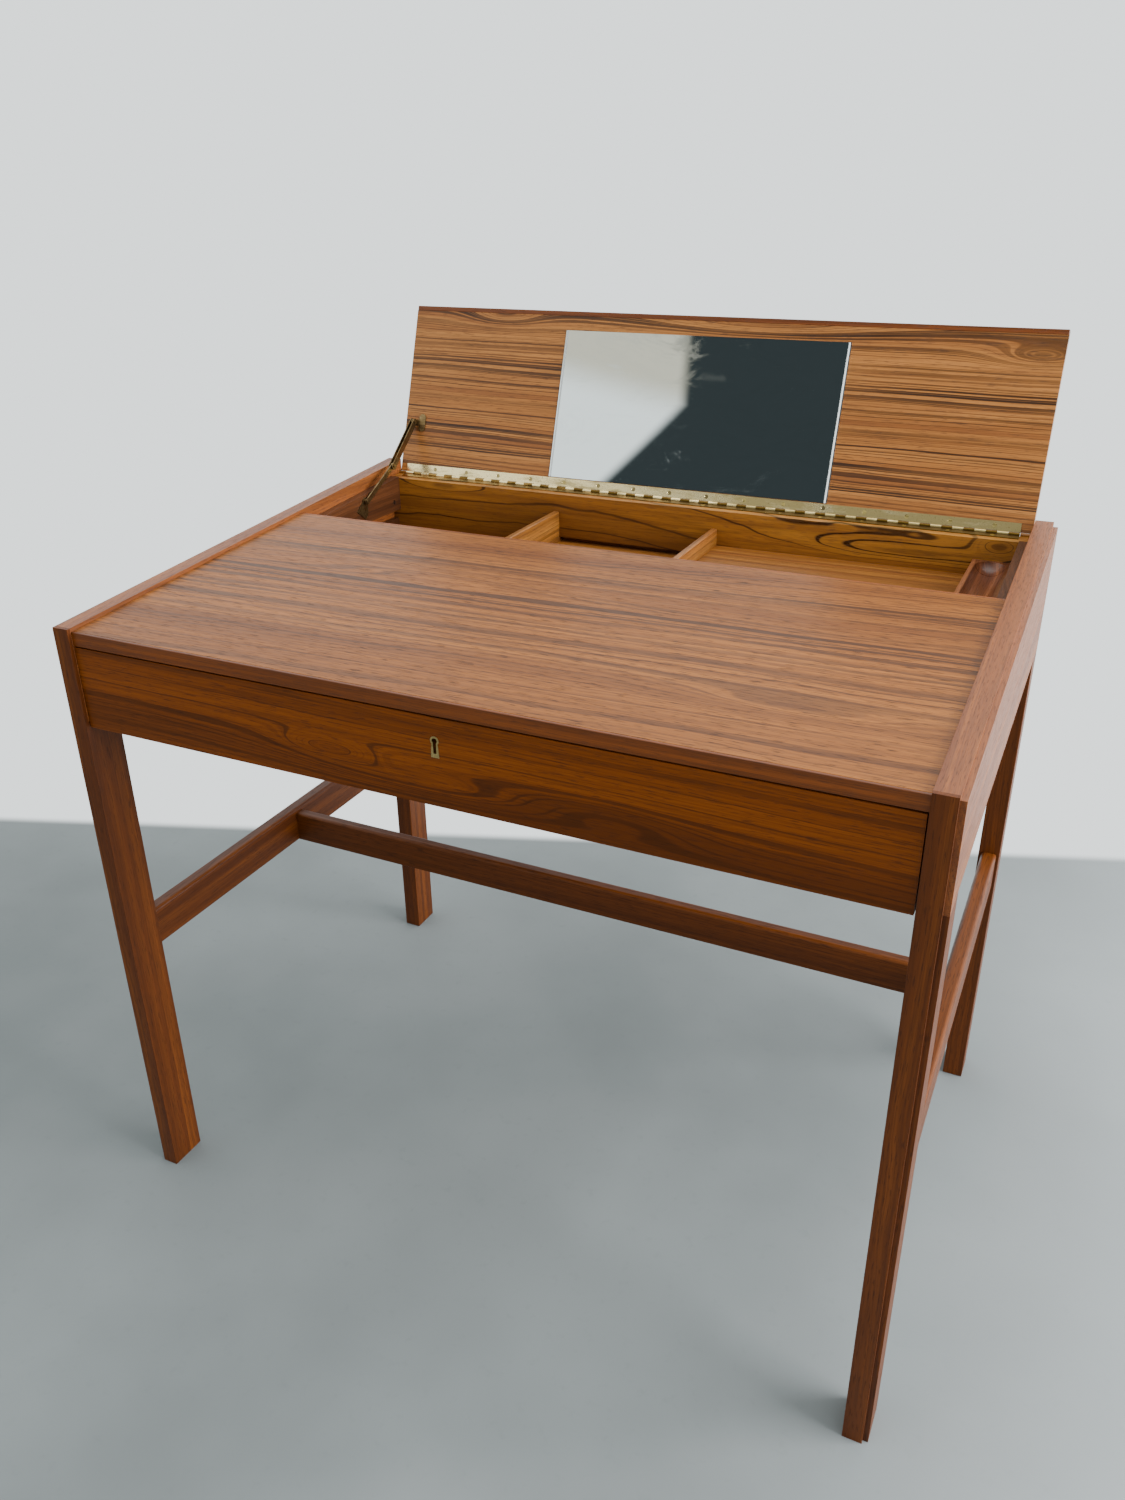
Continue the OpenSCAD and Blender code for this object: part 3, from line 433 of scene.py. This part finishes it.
STAIN = srgb(60, 44, 20)
MATERIALS.update({
    # Painted light: both hinge leaves are one brass, but the fixed leaf and the pin get a darker
    # copy as painted shade on their knuckles, and the lid's leaf gets the lit copy.
    "hinge_lid_lit": hinge_brass("hinge_brass_lid_lit", srgb(246, 224, 168), srgb(178, 158, 106), STAIN),
    "hinge_fixed_painted_shade": hinge_brass("hinge_brass_fixed_painted_shade", srgb(170, 136, 76), srgb(92, 70, 30), STAIN,
                               start=0.15),
    "hinge_screws": hinge_brass("hinge_screw_brass", srgb(150, 132, 88), srgb(206, 184, 110),
                                STAIN, start=-0.10),
    "stay": brass("stay_brass", srgb(134, 112, 76), srgb(84, 66, 42), srgb(40, 30, 20),
                  rough=0.30, tarnish=0.6),
    "lock": brass("lock_brass", srgb(206, 180, 120), srgb(150, 122, 70), srgb(60, 46, 26),
                  rough=0.26, tarnish=0.35),
    "steel": dark_steel("screw_steel"),
    "mirror": silvered_glass("mirror_silver"),
})

FINISHES = {
    "board": ("top_board",),
    "lid": ("lid_panel",),
    "rail": ("side_rail_left", "side_rail_right"),
    "edge": ("top_front_edge", "top_rear_edge", "lid_front_edge"),
    "leg": ("leg_front_left", "leg_front_right", "leg_rear_left", "leg_rear_right"),
    "side_stretcher": ("side_stretcher_left", "side_stretcher_right"),
    "cross_stretcher": ("cross_stretcher",),
    "drawer_front": ("drawer_front",),
    "back_rail": ("back_rail",),
    "lining": ("side_lining_left", "side_lining_right", "lower_cleat_left"),
    "tray": ("pencil_tray",),
    "floor": ("floor_left", "floor_middle", "floor_right"),
    "divider": ("divider_left", "divider_right"),
    "wall": ("inner_wall",),
    "box_side": ("drawer_side_left", "drawer_side_right",
                 "drawer_runner_left", "drawer_runner_right"),
    "box_back": ("drawer_back",),
    "box_base": ("drawer_base",),
    "hinge_lid_lit": ("hinge_leaf_lid",),
    # painted shade: the fixed leaf and the pin take the darker, shaded copy of the hinge brass
    "hinge_fixed_painted_shade": ("hinge_leaf_fixed", "hinge_pin"),
    "hinge_screws": ("hinge_screws_fixed", "hinge_screws_lid"),
    "stay": ("stay_foot", "stay_foot_screws", "stay_bracket", "stay_bracket_screws",
             "stay_lower_arm", "stay_upper_arm"),
    "lock": ("keyhole_plate", "lock_case", "lock_screws", "lock_bolt"),
    "steel": ("lining_screws", "runner_screws"),
    "mirror": ("mirror_glass",),
}


def give_material(piece, material):
    piece.data.materials.clear()
    piece.data.materials.append(material)


for finish, names in FINISHES.items():
    for name in names:
        give_material(nodes[name], MATERIALS[finish])


# ---------- eased edges ----------

FRAME_EASE = 0.0011
BOARD_EASE = 0.0007
SAME_POINT = 0.00001
SHARP = math.radians(40)


def ease_edges(piece, width):
    """Round the piece's sharp edges a little, as sanding does."""
    weld = piece.modifiers.new("join", "WELD")
    weld.merge_threshold = SAME_POINT
    ease = piece.modifiers.new("ease", "BEVEL")
    ease.width = width
    ease.segments = 3
    ease.limit_method = "ANGLE"
    ease.angle_limit = SHARP


for name in FINISHES["leg"] + FINISHES["rail"]:
    ease_edges(nodes[name], FRAME_EASE)
for name in (FINISHES["board"] + FINISHES["edge"] + FINISHES["wall"] + FINISHES["floor"]
             + FINISHES["cross_stretcher"] + FINISHES["side_stretcher"] + ("lower_cleat_left",)):
    ease_edges(nodes[name], BOARD_EASE)


# ---------- room, light and camera ----------

PALE = srgb(218, 224, 225)
ROOM_LIGHT = 2.2
FLOOR_HALF = 40.0
WALL_TURN = math.radians(20.3)   # how far the floor's far line turns from the table's width
WALL_GAP = 0.652                 # how far behind the middle of the table that line runs
WALL_BLUR = 0.03


def room_floor():
    """Pale grey floor, with a painted pool of window light that makes it paler towards +X. Beyond a
    slanting line behind the table it turns as pale as the room.
    """
    mesh = bpy.data.meshes.new("studio_floor")
    corners = [(x * FLOOR_HALF, y * FLOOR_HALF, 0) for x, y in ((-1, -1), (1, -1), (1, 1), (-1, 1))]
    mesh.from_pydata(corners, [], [(0, 1, 2, 3)])
    floor = bpy.data.objects.new("studio_floor", mesh)
    bpy.context.collection.objects.link(floor)
    s = Shader("studio_floor")
    x, y, z = s.place()
    clouds = s.noise(s.vector(x, y, z), 1.6, 4.0, 0.55)
    grit = s.noise(s.vector(x, y, z), 60.0, 3.0, 0.6)
    grey = s.ramp(clouds, ((0.3, srgb(105, 110, 110)), (0.7, srgb(120, 125, 125))))
    grey = s.mix(s.times(s.level(grit, 0.55, 0.8), 0.25), grey, srgb(98, 103, 103))
    # painted light: the grey turns paler towards +X, where the window light falls on the floor
    grey = s.mix(s.times(s.level(x, 0.2, 0.9), 0.6), grey, srgb(156, 160, 161))
    behind = s.add(s.times(y, math.cos(WALL_TURN)), s.times(x, -math.sin(WALL_TURN)))
    beyond = s.level(behind, WALL_GAP, WALL_GAP + WALL_BLUR)
    s.put(s.surface.inputs["Emission Color"], s.mix(beyond, BLACK, PALE))
    give_material(floor, s.finish(s.mix(beyond, grey, BLACK), 0.8, Specular_IOR_Level=0.0,
                                  Emission_Strength=ROOM_LIGHT))


def soft_light(name, place, target, width, height, power, tint=(1.0, 1.0, 1.0)):
    data = bpy.data.lights.new(name, "AREA")
    data.shape = "RECTANGLE"
    data.size = width
    data.size_y = height
    data.energy = power
    data.color = tint
    lamp = bpy.data.objects.new(name, data)
    lamp.location = place
    lamp.rotation_euler = (Vector(target) - Vector(place)).to_track_quat("-Z", "Y").to_euler()
    bpy.context.collection.objects.link(lamp)


# Patches of the sky, as spans of the direction's X, Y and Z over which they fade in.
FRONT_SKY = (-0.68, -0.72)       # Y: the part of the sky that the mirror shows
DRAPE_SIDE = (-0.344, -0.332)    # X: the drape's left edge
DRAPE_FOOT = (0.30, 0.33)        # Z: its lower edge
DRAPE_KNEE = 0.43                # Z: below this its left edge slants outwards
DRAPE_SLANT = 0.8
PANEL_FOOT = (0.415, 0.445)      # Z: the lower edge of the warm panel beside the drape


def studio_sky():
    """Even pale light all round, with a dark drape and a warm panel high up at the front.

    The mirror shows these two.
    """
    world = bpy.data.worlds.new("studio")
    bpy.context.scene.world = world
    world.use_nodes = True
    sky = world.node_tree.nodes["Background"]
    s = Tree(world.node_tree)
    east, north, up = s.split(s.node("TexCoord").outputs["Generated"])
    front = s.level(north, *FRONT_SKY)
    slant = s.times(s.math("SUBTRACT", DRAPE_KNEE, up, clamp=True), DRAPE_SLANT)
    side = s.level(s.add(slant, east), *DRAPE_SIDE)
    drape = s.times(s.times(front, side), s.level(up, *DRAPE_FOOT))
    panel = s.mix(s.level(up, *PANEL_FOOT), PALE, srgb(178, 174, 160))
    room = s.mix(front, PALE, panel)
    s.put(sky.inputs["Color"], s.mix(drape, room, srgb(40, 46, 48)))
    s.put(sky.inputs["Strength"], ROOM_LIGHT)


CAMERA_PLACE = Vector((0.5145, -1.1504, 1.1252))
CAMERA_TURN = math.radians(25.89)
CAMERA_PITCH = math.radians(64.11)
CAMERA_ROLL = math.radians(-0.76)
SENSOR_HEIGHT = 36.0   # millimetres
FOCAL_LENGTH = 28.39   # millimetres


def place_camera():
    data = bpy.data.cameras.new("camera")
    data.sensor_fit = "VERTICAL"
    data.sensor_height = SENSOR_HEIGHT
    data.lens = FOCAL_LENGTH
    camera = bpy.data.objects.new("camera", data)
    camera.matrix_world = (Matrix.Translation(CAMERA_PLACE)
                           @ Matrix.Rotation(CAMERA_TURN, 4, "Z")
                           @ Matrix.Rotation(CAMERA_PITCH, 4, "X")
                           @ Matrix.Rotation(CAMERA_ROLL, 4, "Z"))
    bpy.context.collection.objects.link(camera)
    bpy.context.scene.camera = camera


room_floor()
soft_light("window", place=(3.4, 0.16, 1.7), target=(0.0, 0.0, 0.5), width=2.6, height=2.0,
           power=330.0, tint=(0.97, 0.985, 1.0))
soft_light("ceiling", place=(0.3, 0.4, 3.4), target=(0.0, 0.0, 0.4), width=3.2, height=2.4,
           power=50.0)
studio_sky()
place_camera()
